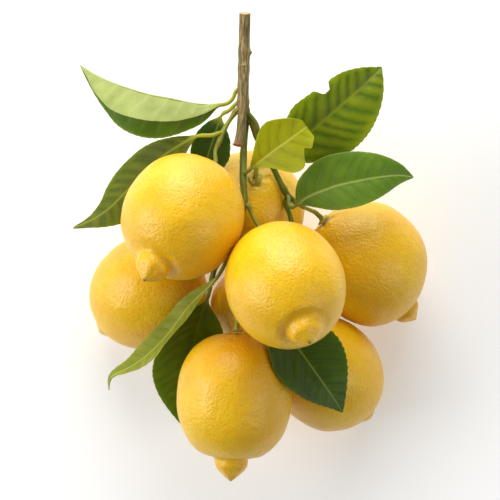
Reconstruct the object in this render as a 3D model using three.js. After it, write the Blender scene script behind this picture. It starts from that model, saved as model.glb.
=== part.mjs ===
// A cut branch of lemons laid flat: eight fruits on a woody branch with nine leaves.
// Millimetres. +X across the bunch, +Y along the branch towards its cut end, +Z up.
// The back of the bunch lies on the plane z = 0 and the lowest fruits carry it.
//
// Every piece is one closed loft: a pole, a run of rings along a path, and a second pole.
import * as THREE from 'three';
import { ParametricGeometry } from 'three/addons/geometries/ParametricGeometry.js';

// ---------------------------------------------------------------- driving dimensions
const GAP = 0.35;            // clearance kept between pieces that touch in nature
const FRUIT_SIDES = 24;      // points round a fruit
const TWIG_SIDES = 8;        // points round a twig
const LEAF_SIDES = 16;       // points round a leaf section, eight per face
const LEAF_RINGS = 15;       // sections along a leaf and its petiole
const LEAF_THICK = 0.55;     // blade thickness beside the midrib
const MIDRIB = 0.55;         // how far the midrib stands out under the blade
const RIB_REACH = 1.3;       // how far the midrib spreads to each side
const PETIOLE_R = 1.05;      // radius of a leaf's petiole
const PETIOLE_RINGS = 4;     // sections of a leaf before its blade begins
const CALYX_R = 3.9;         // radius to the tips of the five calyx lobes
const CALYX_H = 2.3;         // height of a calyx over the fruit
const SHOULDER = 0.86;       // where a nipple begins, as a share of the body's half length
const SMALL_CALYX = 0.75;    // size of the smallest fruit's calyx beside the others

// The colour of each piece, with roughness; nothing on a branch is metal.
const FINISH = {
  bark: [0x8f8468, 0.85],
  twig: [0x7f8f3c, 0.6],
  calyx: [0x7d7a33, 0.7],
  peel: [0xf2bf1c, 0.42],
  leaf: [0x4d7a22, 0.45],
};

// ---------------------------------------------------------------- small helpers
const vec = ([x, y, z]) => new THREE.Vector3(x, y, z);
const rad = (deg) => (deg * Math.PI) / 180;
const clamp = (x, a, b) => Math.min(b, Math.max(a, x));
const ramp = (x, a, b) => {
  const t = clamp((x - a) / (b - a), 0, 1);
  return t * t * (3 - 2 * t);
};

// A value read off an evenly spaced list at t in 0..1.
function along(list, t) {
  const x = clamp(t, 0, 1) * (list.length - 1);
  const i = Math.min(list.length - 2, Math.floor(x));
  return list[i] + (list[i + 1] - list[i]) * (x - i);
}

// The same for a list of directions, turned back into a unit vector.
function turned(list, t) {
  if (list.length === 1) return vec(list[0]).normalize();
  return new THREE.Vector3(
    along(list.map((n) => n[0]), t),
    along(list.map((n) => n[1]), t),
    along(list.map((n) => n[2]), t)).normalize();
}

const group = new THREE.Group();

function add(name, geometry, finish) {
  const [color, roughness] = FINISH[finish];
  const material = new THREE.MeshStandardMaterial({ color, roughness, metalness: 0 });
  const mesh = new THREE.Mesh(geometry, material);
  mesh.name = name;
  group.add(mesh);
  return mesh;
}

// ring(t, u) gives a point of the skin for t in 0..1 along the piece; both ends are
// closed by a flat cap that meets in the middle of the first and the last ring.
function loft(ring, centre, sides, rings) {
  const stacks = rings + 1;
  return new ParametricGeometry((u, v, out) => {
    const k = v * stacks;
    const t = clamp((k - 1) / (rings - 1), 0, 1);
    const fill = clamp(Math.min(k, stacks - k), 0, 1);
    const mid = centre(t);
    out.copy(ring(t, u % 1)).sub(mid).multiplyScalar(fill).add(mid);
  }, sides, stacks);
}

// ---------------------------------------------------------------- twigs
// A round stem through the points, with a radius list along it. ref is a direction
// the stem never runs along; swell thickens it in a bud or a node at given places.
function twig(name, points, radii, { rings = 12, ref = [0, 0, 1], swell = [],
  cut = null, finish = 'twig' } = {}) {
  const path = new THREE.CatmullRomCurve3(points.map(vec), false, 'centripetal');
  const ring = (t, u) => {
    const at = path.getPointAt(t);
    const run = path.getTangentAt(t);
    const side = new THREE.Vector3().crossVectors(vec(ref), run).normalize();
    const up = new THREE.Vector3().crossVectors(run, side);
    let r = along(radii, t);
    for (const [place, size, width] of swell) {
      r += size * Math.exp(-(((t - place) / width) ** 2));
    }
    const a = 2 * Math.PI * u;
    const out = at.addScaledVector(side, r * Math.cos(a)).addScaledVector(up, r * Math.sin(a));
    if (cut && t === 0) out.addScaledVector(run, cut * Math.sin(a) * r);
    return out;
  };
  return add(name, loft(ring, (t) => path.getPointAt(t), TWIG_SIDES, rings), finish);
}

// ---------------------------------------------------------------- fruits
// Sections of a fruit: from the stem pole over the body, then closer over the nipple.
const BODY_ANGLES = [13, 27, 41, 55, 69, 83, 97, 111, 123, 133, 141.5];
const NIPPLE_STEPS = [0.12, 0.27, 0.44, 0.61, 0.77, 0.9, 0.975];

// Radius of a fruit at x along its axis: a full ellipsoid that swells into a blunt nipple,
// with a shallow furrow round the foot of the nipple on one side.
function fruitRadius(x, f, u) {
  const body = f.r * Math.max(0, 1 - Math.abs(x / f.half) ** f.full) ** (1 / f.full);
  const start = SHOULDER * f.half;
  const s = clamp((x - start) / (f.tip - start), 0, 1);
  const nipple = x > 0.5 * f.half ? f.nub * Math.max(0, 1 - s ** 1.3) ** 0.78 : 0;
  const both = (body ** 5 + nipple ** 5) ** 0.2;
  const furrow = Math.exp(-(((x - 0.955 * f.half) / 2.4) ** 2));
  const around = 0.5 + 0.5 * Math.cos(2 * Math.PI * u - rad(f.furrowAt));
  return both - f.furrow * furrow * around;
}

function fruit(name, f) {
  const axis = vec(f.axis).normalize();
  const helper = Math.abs(axis.z) > 0.9 ? new THREE.Vector3(0, 1, 0) : new THREE.Vector3(0, 0, 1);
  const side = new THREE.Vector3().crossVectors(helper, axis).normalize();
  const up = new THREE.Vector3().crossVectors(axis, side);
  const lean = vec(f.lean ?? [0, 0, 0]);
  const start = SHOULDER * f.half;
  const xs = [-f.half, ...BODY_ANGLES.map((a) => -f.half * Math.cos(rad(a))),
    ...NIPPLE_STEPS.map((s) => start + s * (f.tip - start)), f.tip];
  const stacks = xs.length - 1;
  const geometry = new ParametricGeometry((u, v, out) => {
    const k = v * stacks;
    const i = Math.min(stacks - 1, Math.floor(k + 1e-6));
    const x = xs[i] + (xs[i + 1] - xs[i]) * (k - i);
    const pole = i === 0 && k < 0.5 || k > stacks - 0.5;
    const a = 2 * Math.PI * (u % 1);
    const lobes = 1 + f.lobe * Math.cos(2 * a + f.phase) + 0.6 * f.lobe * Math.cos(3 * a);
    const r = pole ? 0 : fruitRadius(x, f, u) * lobes;
    const bend = ramp(x, 0.2 * f.half, f.tip);
    out.copy(vec(f.at)).addScaledVector(axis, x).addScaledVector(lean, bend);
    out.addScaledVector(side, r * Math.cos(a)).addScaledVector(up, r * Math.sin(a));
  }, FRUIT_SIDES, stacks);
  if (f.rests) {
    geometry.computeBoundingBox();
    const lift = -geometry.boundingBox.min.z;
    geometry.translate(0, 0, lift);
    f.at = [f.at[0], f.at[1], f.at[2] + lift];
  }
  return add(name, geometry, 'peel');
}

// The green star where the stalk meets the fruit: five short lobes under a round boss.
function calyx(name, f, size = 1) {
  const axis = vec(f.axis).normalize();
  const out = axis.clone().negate();
  const helper = Math.abs(axis.z) > 0.9 ? new THREE.Vector3(0, 1, 0) : new THREE.Vector3(0, 0, 1);
  const side = new THREE.Vector3().crossVectors(helper, out).normalize();
  const up = new THREE.Vector3().crossVectors(out, side);
  const foot = vec(f.at).addScaledVector(out, f.half + GAP);
  const steps = [[0.3, 0.10], [1, 0.02], [0.96, 0.3], [0.6, 0.5], [0.46, 1]];
  const ring = (t, u) => {
    const k = t * (steps.length - 1);
    const i = Math.min(steps.length - 2, Math.floor(k + 1e-6));
    const w = steps[i][0] + (steps[i + 1][0] - steps[i][0]) * (k - i);
    const h = steps[i][1] + (steps[i + 1][1] - steps[i][1]) * (k - i);
    const a = 2 * Math.PI * u;
    const lobe = 1 + 0.16 * ramp(w, 0.5, 0.95) * Math.cos(5 * a);
    const r = CALYX_R * 0.86 * size * w * lobe;
    return foot.clone().addScaledVector(out, CALYX_H * size * h)
      .addScaledVector(side, r * Math.cos(a)).addScaledVector(up, r * Math.sin(a));
  };
  const centre = (t) => foot.clone().addScaledVector(out, CALYX_H * size * (t < 0.5 ? 0.10 : 1));
  return add(name, loft(ring, centre, 10, steps.length), 'calyx');
}

// ---------------------------------------------------------------- leaves
// A leaf with its petiole. path runs from the petiole's foot to the leaf tip; stem is
// the share of it that is petiole; face is the direction the upper side looks; left and
// right are half widths of the blade in equal steps, fold lifts each half towards the
// upper side (degrees) and curl bends it further towards its edge.
function leaf(name, L) {
  const path = new THREE.CatmullRomCurve3(L.path.map(vec), false, 'centripetal');
  const stem = L.stem;
  // Sections are closer in the petiole's bend and at the tip.
  const place = (t) => {
    const k = t * (LEAF_RINGS - 1);
    if (k <= PETIOLE_RINGS) return (k / PETIOLE_RINGS) * stem;
    const q = (k - PETIOLE_RINGS) / (LEAF_RINGS - 1 - PETIOLE_RINGS);
    return stem + (1 - stem) * (q - 0.02 * Math.sin(2 * Math.PI * q));
  };
  const ring = (t, u) => {
    const d = place(t);
    const q = clamp((d - stem) / (1 - stem), 0, 1);
    const at = path.getPointAt(d);
    const run = path.getTangentAt(d);
    const face = turned(L.face, d);
    const left = new THREE.Vector3().crossVectors(face, run).normalize();
    const up = new THREE.Vector3().crossVectors(run, left);
    // Lower face first, then the upper face back: s is -1 on the right edge, +1 on the left.
    const upper = u > 0.5;
    const s = upper ? 3 - 4 * u : 4 * u - 1;
    const blade = ramp(d, stem * 0.8, stem + 0.05);
    const tip = 1 - ramp(q, 0.9, 1);
    const wing = Math.max(0.35, along(s > 0 ? L.left : L.right, q));
    const width = PETIOLE_R + (wing - PETIOLE_R) * blade;
    const angle = rad(blade * (along(s > 0 ? L.foldLeft : L.foldRight, q) + L.curl * Math.abs(s)));
    const edge = Math.sqrt(Math.max(0, 1 - s * s));
    const ribHeight = MIDRIB * (0.25 + 0.75 * tip) * (1 - q * 0.6);
    const rib = upper ? 0 : ribHeight * Math.exp(-((s * width / RIB_REACH) ** 2));
    const flat = (LEAF_THICK / 2) * edge * (0.5 + 0.5 * tip) + rib;
    const round = PETIOLE_R * edge;
    const h = (upper ? 1 : -1) * (round + (flat - round) * blade);
    // At the petiole the ring is round, so its points follow a circle instead of a line.
    const across = (1 - blade) * -Math.cos(Math.PI * (s + 1) / 2) + blade * s;
    const lift = (1 - blade) * (upper ? 1 : -1) * PETIOLE_R * Math.sin(Math.PI * (s + 1) / 2)
      + blade * h;
    const way = across < 0 ? -1 : 1;
    return at.addScaledVector(left, across * width * Math.cos(angle) - way * lift * Math.sin(angle))
      .addScaledVector(up, Math.abs(across) * width * Math.sin(angle) + lift * Math.cos(angle));
  };
  const centre = (t) => path.getPointAt(place(t));
  return add(name, loft(ring, centre, LEAF_SIDES, LEAF_RINGS), 'leaf');
}

// ---------------------------------------------------------------- the eight fruits
// at: centre; axis: stem end to nipple; r: radius; half: half length of the body;
// full: 2 for an ellipsoid, more for fuller shoulders; tip: centre to the end of the
// nipple; nub: radius of the nipple's foot; rests: the fruit is let down onto z = 0.
const BASE = { r: 30.3, half: 33, full: 2.1, tip: 43.8, nub: 10.6, furrow: 0.9, furrowAt: 120,
  lobe: 0.009, phase: 0.6 };
const FRUITS = {
  upper_left: { at: [-34.6, 17, 88.5], axis: [-0.42, -0.74, 0.53], r: 30.8, tip: 44.2, nub: 11.6,
    furrow: 1.2, furrowAt: 300 },
  left_back: { at: [-55.7, -22.9, 31], axis: [-0.65, -0.54, -0.53], r: 30.2, phase: 2.1, rests: true },
  centre_front: { at: [17.7, -17.8, 100], axis: [0.28, -0.675, 0.68], r: 30, half: 33.8, tip: 41.8,
    furrow: 1.5, furrowAt: 200, nub: 11.2 },
  right_back: { at: [64.2, -7.4, 33], axis: [0.7, -0.67, -0.25], r: 32, half: 34.2, tip: 43.5,
    lean: [-3.2, -2, 0], phase: 1.2, rests: true },
  bottom: { at: [-8.4, -77, 68.6], axis: [-0.04, -1, 0], r: 29.8, half: 33.3, full: 2.35, tip: 44.6,
    nub: 11.4 },
  lower_right: { at: [41.8, -67.7, 31], axis: [0.57, -0.58, -0.58], r: 30, tip: 45.5,
    phase: 3, rests: true },
  upper_back: { at: [0, 22.3, 33], axis: [-0.083, -0.466, -0.881], r: 29.8, half: 32.2, tip: 38.5,
    phase: 4, rests: true },
  small_back: { at: [-1.5, -30, 28], axis: [0.15, 0.25, -0.95], r: 19.8, half: 23.5, tip: 28.5,
    nub: 5.6, furrow: 0.5, rests: true },
};
for (const [name, own] of Object.entries(FRUITS)) {
  FRUITS[name] = { ...BASE, ...own };
  fruit(`lemon_${name}`, FRUITS[name]);
  calyx(`calyx_${name}`, FRUITS[name], name === 'small_back' ? SMALL_CALYX : 1);
}

// The point where a fruit's stalk ends, just clear of its calyx, and one further out.
function stalkEnd(name, reach = 0) {
  const f = FRUITS[name];
  const size = name === 'small_back' ? SMALL_CALYX : 1;
  const far = f.half + GAP + CALYX_H * size + GAP + reach;
  const p = vec(f.at).addScaledVector(vec(f.axis).normalize(), -far);
  return [p.x, p.y, p.z];
}

// ---------------------------------------------------------------- branch and shoots
twig('branch', [[-2.7, 124.5, 66], [-3, 111, 64.5], [-3.3, 96, 64], [-3.7, 84, 65], [-3.7, 76.5, 65.5],
  [-4.1, 69, 66.5], [-4.8, 61.5, 67.5], [-6.1, 54.5, 68.5]],
  [2.95, 2.9, 2.95, 2.85, 2.85, 3.0, 2.5, 2.45, 2.5],
  { rings: 18, finish: 'bark', cut: 0.25,
    swell: [[0.3, 0.3, 0.03], [0.4, 0.35, 0.035], [0.7, 0.45, 0.04], [1, 0.35, 0.05]] });

twig('shoot_main', [[-1.7, 72.6, 60.6], [-2, 67.5, 60.8], [-2.9, 58.2, 62], [-3.5, 50.2, 64],
  [-3.6, 37, 69], [-3.1, 26.2, 71.5], [-4.6, 16.8, 71], [-8, 6.5, 66.5], [-14.3, -3.7, 60],
  [-19.2, -11.2, 55], [-20.8, -18.4, 51.5]],
  [1.5, 1.6, 1.9, 1.85, 1.6, 1.5, 1.45, 1.4, 1.35],
  { rings: 22, swell: [[0.47, 0.3, 0.02], [0.6, 0.35, 0.02], [0.98, 0.3, 0.03]] });

twig('shoot_right', [[1.6, 75.5, 63], [2, 69.2, 62.5], [2.9, 63.2, 62], [4.9, 57.2, 61.7],
  [8.9, 49, 62], [13.1, 41.5, 62.5], [17.4, 32.6, 63], [20.2, 28.2, 62.5], [22.6, 26.2, 62]],
  [1.2, 1.65, 1.6, 1.55, 1.5, 1.5, 1.7, 1.5],
  { rings: 16, swell: [[0.02, 0.45, 0.04], [0.86, 0.3, 0.04]] });

twig('shoot_left', [[-7.9, 72.4, 65.5], [-10.5, 68.5, 65.5], [-13.2, 64, 66], [-15, 60.2, 66.2],
  [-16.4, 56.4, 66.6]], [1.15, 1.05, 1.1, 1.3, 1.4], { rings: 9, swell: [[0.55, 0.35, 0.08]] });

twig('shoot_lower', [[18.9, 24.6, 61.2], [21.4, 16.5, 64.6], [23.2, 5, 62.8], [25, -7, 58], [24.4, -24, 56.5],
  [22.9, -32, 56]], [1.3, 1.2, 1.15, 1.1, 1.1], { rings: 12 });

// ---------------------------------------------------------------- stalks
const stalks = {
  upper_left: [[-17, 55.2, 66.8], [-18.3, 51.8, 67]],
  centre_front: [[-0.6, 22.2, 71.9], [1.2, 17.6, 71.8]],
  right_back: [[23.9, 25.2, 61], [28.4, 22.8, 54.5]],
  bottom: [[-5.4, 6.8, 69], [-3.9, -1.5, 68.2], [-4.6, -14, 67], [-7, -27, 66.6]],
  lower_right: [[22.7, -33.4, 55.8], [22, -38, 55.2]],
  upper_back: [[4.2, 54.6, 64], [3.6, 50, 68.5]],
  left_back: [[-13.9, 0.2, 60.8], [-18, 2.8, 59.5], [-24.5, 2.2, 57]],
  small_back: [[-6.6, -28.9, 64.1], [-6.6, -32, 62]],
};
for (const [name, lead] of Object.entries(stalks)) {
  const ref = ['small_back', 'upper_back'].includes(name) ? [1, 0, 0] : [0, 0, 1];
  twig(`stalk_${name}`, [...lead, stalkEnd(name, 3), stalkEnd(name)], [1.05, 1.0, 1.1, 1.35],
    { rings: name === 'bottom' ? 12 : 8, ref });
}

// ---------------------------------------------------------------- the nine leaves
leaf('leaf_top_left', {
  path: [[-7.6, 83.5, 62.2], [-9.2, 79.9, 61.6], [-11.2, 77.8, 61.5], [-13.6, 76.9, 61.5], [-16.4, 76.5, 62],
    [-27.7, 77, 64], [-37.7, 78.6, 66], [-47.7, 80.5, 67], [-57.8, 83, 67], [-68, 86.4, 65],
    [-75, 89, 63], [-83.2, 93.4, 60], [-90.2, 98, 58]],
  stem: 0.12, face: [[0, -0.98, 0.17]], curl: 4,
  left: [0.6, 11, 18, 22, 22.8, 20.5, 14.5, 6.5, 0.4], foldLeft: [60, 74, 74],
  right: [0.6, 7, 13.5, 18, 19.8, 18.4, 13, 5.5, 0.4], foldRight: [60, 55, 55],
});
leaf('leaf_left', {
  path: [[-17.9, 60.7, 68.4], [-20.5, 60, 68.8], [-24, 60, 68.8], [-28, 59.6, 68], [-42.2, 51.9, 65],
    [-52.9, 43.9, 62], [-64.7, 31.8, 60], [-74.1, 22.2, 61], [-81.4, 16.9, 63], [-87.4, 13.7, 66],
    [-92.9, 11.3, 69]],
  stem: 0.11, face: [[0.1, 0.1, 1], [-0.25, 0.25, 0.93], [-0.3, 0.4, 0.86]], curl: -6,
  left: [0.6, 6, 10.5, 14, 15.5, 14.5, 10, 5, 0.4], foldLeft: [0, -17, -3],
  right: [0.6, 5.5, 9.5, 12.5, 13, 11, 6.5, 3, 0.4], foldRight: [0, 0, 5],
});
leaf('leaf_behind', {
  path: [[-8.2, 76.4, 61.6], [-11.2, 73.6, 60.6], [-14.5, 71.9, 60.6], [-15.9, 69.7, 60.8], [-19.1, 59.4, 61],
    [-22, 50.9, 60.5], [-24.2, 41, 58.5], [-25, 33, 56.5]],
  stem: 0.2, face: [[0.1, 0, 1], [-0.1, 0, 1]], curl: -5,
  left: [0.6, 4.5, 8.5, 10.5, 11.5, 10.5, 8, 4.5, 0.4], foldLeft: [6, 6, 6],
  right: [0.6, 6, 9, 10, 10, 9, 7, 4, 0.4], foldRight: [6, 6, 6],
});
leaf('leaf_centre', {
  path: [[-2.2, 40.2, 71.2], [-0.6, 41.4, 73.5], [2.5, 44, 76.3], [6.2, 46.7, 79], [13.4, 52, 83],
    [20.6, 56.9, 86], [25.7, 60.7, 87], [29.3, 63.3, 87]],
  stem: 0.1, face: [[-0.4, -0.3, 0.86], [0, 0, 1]], curl: 8,
  left: [0.6, 3.6, 7.2, 10.6, 13.6, 14.8, 13, 9.8, 4], foldLeft: [12, 8, 6],
  right: [0.6, 2.4, 5.6, 10.4, 15, 16.8, 15.8, 11.5, 6.5], foldRight: [10, 4, 0],
});
leaf('leaf_upper_right', {
  path: [[8.8, 54.4, 62.4], [11.2, 54.4, 64.4], [14, 53, 66.6], [18, 52.4, 68.6], [24.6, 55.5, 71],
    [31.9, 61.7, 73], [41.7, 70.1, 75], [52.1, 79.2, 76], [60, 86.3, 75], [68.7, 95.4, 73]],
  stem: 0.12, face: [[-0.1, 0, 1], [-0.15, 0.1, 1], [-0.2, 0.1, 1]], curl: -8,
  left: [0.6, 10, 16, 16.5, 15.5, 14.5, 13, 8.5, 0.4], foldLeft: [30, 34, 30],
  right: [0.6, 12, 19.5, 21.5, 21.5, 20, 16.5, 10, 0.4], foldRight: [-4, -4, 0],
});
leaf('leaf_right', {
  path: [[20.4, 26.2, 65], [20.6, 23.2, 66.8], [22.8, 22.2, 68.4], [25.2, 24, 69.6], [29.9, 27.3, 71],
    [36.3, 30.2, 72.5], [46.8, 33.8, 75], [56, 35.8, 76], [66, 37.6, 76], [74.1, 38.6, 74],
    [80.6, 38.7, 72], [85.7, 37.9, 70]],
  stem: 0.11, face: [[0, 0.1, 1], [0, 0.1, 1]], curl: -4,
  left: [0.6, 11, 15.5, 16.5, 16, 14.5, 11.5, 6.8, 0.4], foldLeft: [10, 10, 6],
  right: [0.6, 6.2, 11.3, 13.2, 13.6, 12.2, 9.2, 4.8, 0.4], foldRight: [6, 8, 6],
});
leaf('leaf_lower_left', {
  path: [[-21.3, -20.4, 50.2], [-22, -23.5, 50.6], [-23.2, -27.5, 51.8], [-25.6, -34, 52],
    [-28.4, -43, 50], [-31.2, -53.6, 46], [-33.5, -65.2, 41], [-35.2, -77.4, 36.5],
    [-35.3, -88.5, 33.5], [-33.9, -99.5, 32]],
  stem: 0.08, face: [[0.1, -0.1, 1], [0.25, -0.25, 1], [0.15, -0.2, 1]], curl: -5,
  left: [0.6, 11, 16.8, 19, 20, 18.8, 15.5, 8.5, 0.4], foldLeft: [16, 2, -4],
  right: [0.6, 8, 14.5, 18.2, 19.6, 18.6, 13.5, 6.5, 0.4], foldRight: [6, 4, 4],
});
leaf('leaf_edge_on', {
  path: [[-11.6, -3.2, 64.2], [-13, -7, 64.8], [-15.6, -12, 64], [-19.8, -17.6, 63.4], [-31.8, -29.8, 63],
    [-44.9, -46.5, 63], [-54.9, -56.5, 63.5], [-64.4, -62.8, 63.5], [-71.4, -65.8, 62],
    [-74.4, -69.2, 60], [-74.9, -74.5, 58]],
  stem: 0.1, face: [[-0.58, 0.58, 0.58], [-0.55, 0.55, 0.63], [-0.45, 0.6, 0.66]], curl: 6,
  left: [0.6, 4, 6.5, 8, 8.6, 8.2, 6.6, 3.6, 0.4], foldLeft: [8, 14, 10],
  right: [0.6, 4, 6.5, 8, 8.6, 8.2, 6.6, 3.6, 0.4], foldRight: [8, 14, 10],
});
leaf('leaf_lower_right', {
  path: [[21, -29.5, 58.2], [19.2, -33, 60.4], [18.2, -36.6, 63], [18.8, -40.4, 66.4], [21.6, -45.6, 69.6],
    [26, -52, 72], [32.6, -61.5, 73], [39.6, -71.5, 71.5], [44.6, -78.9, 69.2], [48.6, -85.6, 67]],
  stem: 0.14, face: [[0, 0, 1], [0, 0, 1], [0.2, 0, 1]], curl: 2,
  left: [0.6, 10, 17, 20, 20, 17.8, 13.4, 7.4, 0.4], foldLeft: [-4, -8, 0],
  right: [0.6, 13, 22, 24, 21.5, 16.5, 11.5, 6, 0.4], foldRight: [36, 46, 38, 16, 6],
});

// ---------------------------------------------------------------- onto the frame
// The origin goes to the middle of the footprint, on the plane the fruits rest on.
const box = new THREE.Box3().setFromObject(group);
for (const mesh of group.children) {
  mesh.geometry.translate(-(box.min.x + box.max.x) / 2, -(box.min.y + box.max.y) / 2, -box.min.z);
}

export default group;
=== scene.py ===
# %% [markdown]
# # A cut branch of lemons
#
# Eight lemons hang on one woody branch with nine leaves. The branch has been cut and
# laid on a pale floor, and we look straight down on it. The plain solids of every fruit,
# twig and leaf are already in the frame, at their true size and place. This script
# reads their shape, grows a fine skin from each one, and gives every skin its finish.

# %% Load the frame
import bpy
import numpy as np
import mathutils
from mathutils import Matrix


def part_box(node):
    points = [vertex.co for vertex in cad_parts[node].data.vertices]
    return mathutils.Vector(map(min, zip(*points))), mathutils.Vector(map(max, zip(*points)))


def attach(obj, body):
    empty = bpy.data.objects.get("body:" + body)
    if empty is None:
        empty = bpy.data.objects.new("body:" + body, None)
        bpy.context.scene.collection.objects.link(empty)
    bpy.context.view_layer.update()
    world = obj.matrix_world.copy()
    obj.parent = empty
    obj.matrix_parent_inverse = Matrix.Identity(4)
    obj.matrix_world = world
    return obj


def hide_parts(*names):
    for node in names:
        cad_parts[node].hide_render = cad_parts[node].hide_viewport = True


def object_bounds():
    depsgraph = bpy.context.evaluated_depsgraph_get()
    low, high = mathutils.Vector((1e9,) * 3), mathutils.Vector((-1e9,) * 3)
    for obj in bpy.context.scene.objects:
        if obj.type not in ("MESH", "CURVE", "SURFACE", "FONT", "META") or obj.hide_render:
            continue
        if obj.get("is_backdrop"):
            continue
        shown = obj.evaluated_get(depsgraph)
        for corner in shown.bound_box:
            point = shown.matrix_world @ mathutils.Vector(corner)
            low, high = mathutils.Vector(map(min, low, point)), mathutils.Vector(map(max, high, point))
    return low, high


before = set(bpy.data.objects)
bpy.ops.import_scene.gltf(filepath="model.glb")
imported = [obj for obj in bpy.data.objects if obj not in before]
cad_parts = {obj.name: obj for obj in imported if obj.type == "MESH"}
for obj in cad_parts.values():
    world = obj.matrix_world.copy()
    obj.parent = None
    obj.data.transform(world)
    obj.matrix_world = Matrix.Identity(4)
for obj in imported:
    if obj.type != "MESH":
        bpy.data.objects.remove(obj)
CAD_LOW, CAD_HIGH = (list(corner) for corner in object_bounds())
NODES = sorted(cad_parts)
MM = 0.001
print(len(NODES), "solids, box in mm:", np.round((np.array(CAD_HIGH) - CAD_LOW) / MM, 1))

# %% [markdown]
# ## Reading a solid as rings
#
# Each solid was lofted: a pole, a run of rings of points, and a second pole. A mesh does
# not remember that, but its edges do. We could repeat every measure of the fruit here by
# hand, but then two lists would have to agree for ever. Instead we walk the edges. The
# points round a pole are the first ring. Each pair of neighbours on a ring has one more
# point that both have an edge to, and those points are the next ring, in the same order.

# %% Merge a solid's corners
def corner_points(name):
    """Points (n, 3) and triangles (m, 3) of a solid, with corners in one place made one."""
    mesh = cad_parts[name].data
    place = np.empty(len(mesh.vertices) * 3)
    mesh.vertices.foreach_get("co", place)
    place = place.reshape(-1, 3)
    corner = np.empty(len(mesh.loops), np.int32)
    mesh.loops.foreach_get("vertex_index", corner)
    cell = np.round(place / (0.002 * MM)).astype(np.int64)
    _, first, number = np.unique(cell, axis=0, return_index=True, return_inverse=True)
    return place[first], number.reshape(-1)[corner].reshape(-1, 3)


points, triangles = corner_points("lemon_bottom")
print("lemon_bottom has", len(points), "points and", len(triangles), "triangles")


# %% Walk from pole to pole
def rings_of(name, near):
    """Rings (k, j, 3) of a solid from the pole nearest to near, and the two poles.

    Point j of the next ring is the free point with an edge to points j and j + 1 of this
    one. Round x onward points out of the skin.
    """
    points, triangles = corner_points(name)
    count = len(points)
    turned = np.concatenate([np.roll(triangles, turn, axis=1) for turn in range(3)])
    link = np.zeros((count, count), bool)
    link[turned[:, 0], turned[:, 1]] = True
    link |= link.T
    poles = np.argsort(link.sum(0))[-2:]
    away = [np.linalg.norm(np.asarray(near) - points[p], axis=-1).min() for p in poles]
    start = poles[int(np.argmin(away))]

    fan = turned[turned[:, 0] == start]
    before = dict(zip(fan[:, 1], fan[:, 2]))
    walk = [fan[0, 1]]
    while len(walk) < len(fan):
        walk.insert(0, before[walk[0]])
    walk = [np.array(walk)]
    free = np.ones(count, bool)
    free[start] = False
    free[walk[0]] = False
    while free.sum() > 1:
        shared = link[walk[-1]] & link[np.roll(walk[-1], -1)] & free
        walk.append(shared.argmax(1))
        free[walk[-1]] = False
    return points[np.stack(walk)], points[start], points[np.flatnonzero(free)[0]]


# %% [markdown]
# ## What grows from what
#
# Every piece starts at the piece that it grows from, so the first ring is always the one
# nearest to its parent. The branch itself starts at its cut end.

# %% The family tree
GROWS_FROM = {
    "shoot_main": "branch", "shoot_right": "branch", "shoot_left": "branch",
    "shoot_lower": "shoot_right",
    "stalk_upper_left": "shoot_left", "stalk_centre_front": "shoot_main",
    "stalk_right_back": "shoot_right", "stalk_bottom": "shoot_main",
    "stalk_lower_right": "shoot_lower", "stalk_upper_back": "shoot_right",
    "stalk_left_back": "shoot_main", "stalk_small_back": "stalk_bottom",
    "leaf_top_left": "branch", "leaf_left": "shoot_left", "leaf_behind": "branch",
    "leaf_centre": "shoot_main", "leaf_upper_right": "shoot_right",
    "leaf_right": "shoot_right", "leaf_lower_left": "shoot_main",
    "leaf_edge_on": "shoot_main", "leaf_lower_right": "shoot_lower",
}
FRUITS = [name[len("lemon_"):] for name in NODES if name.startswith("lemon_")]
for fruit in FRUITS:
    GROWS_FROM[f"calyx_{fruit}"] = f"stalk_{fruit}"
    GROWS_FROM[f"lemon_{fruit}"] = f"calyx_{fruit}"

RINGS = {}
for name in NODES:
    if name == "branch":
        near = np.array(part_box(name)[1])
    else:
        near, _ = corner_points(GROWS_FROM[name])
    RINGS[name] = rings_of(name, near)
print("rings x points:", {name: RINGS[name][0].shape[:2] for name in NODES[::7]})


# %% [markdown]
# ## Smooth curves through few points
#
# The solids have flat facets. Between their rings we run a natural cubic spline, which is
# the curve that a thin strip of wood takes when it is held at those points. Round a ring
# the points repeat, so a sum of sine waves through them is smooth and has no seam.

# %% Splines
def spline(rows, at, where):
    """Natural cubic spline through rows at the knots at, read at where.

    The bends m solve h0 m0 + 2 (h0 + h1) m1 + h1 m2 = 6 (slope1 - slope0).
    """
    shape = rows.shape[1:]
    rows = rows.reshape(len(rows), -1)
    h = np.diff(at)
    slope = np.diff(rows, axis=0) / h[:, None]
    system = np.eye(len(at))
    inner = np.arange(1, len(at) - 1)
    system[inner, inner - 1] = h[:-1]
    system[inner, inner] = 2 * (h[:-1] + h[1:])
    system[inner, inner + 1] = h[1:]
    right = np.zeros_like(rows)
    right[1:-1] = 6 * np.diff(slope, axis=0)
    bend = np.linalg.solve(system, right)
    i = np.clip(np.searchsorted(at, where) - 1, 0, len(h) - 1)
    a = ((at[i + 1] - where) / h[i])[:, None]
    b = 1 - a
    curve = a * rows[i] + b * rows[i + 1]
    curve += ((a ** 3 - a) * bend[i] + (b ** 3 - b) * bend[i + 1]) * (h[i] ** 2)[:, None] / 6
    return curve.reshape((len(where),) + shape)


def round_off(rings, columns):
    """Closed rings with more points: the same sine waves, read more often."""
    sides = rings.shape[1]
    wave = np.fft.rfft(rings, axis=1)
    if sides % 2 == 0:
        wave[:, -1] *= 0.5
    return np.fft.irfft(wave, n=columns, axis=1) * columns / sides


def path_length(centres):
    """Length along a row of points, from 0 at the first."""
    return np.concatenate([[0], np.cumsum(np.linalg.norm(np.diff(centres, axis=0), axis=1))])


def outward(grid):
    """Unit normals of a closed grid: round x onward."""
    turn = np.roll(grid, -1, axis=1) - np.roll(grid, 1, axis=1)
    normal = np.cross(turn, np.gradient(grid, axis=0))
    return normal / np.maximum(np.linalg.norm(normal, axis=2, keepdims=True), 1e-12)


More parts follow.
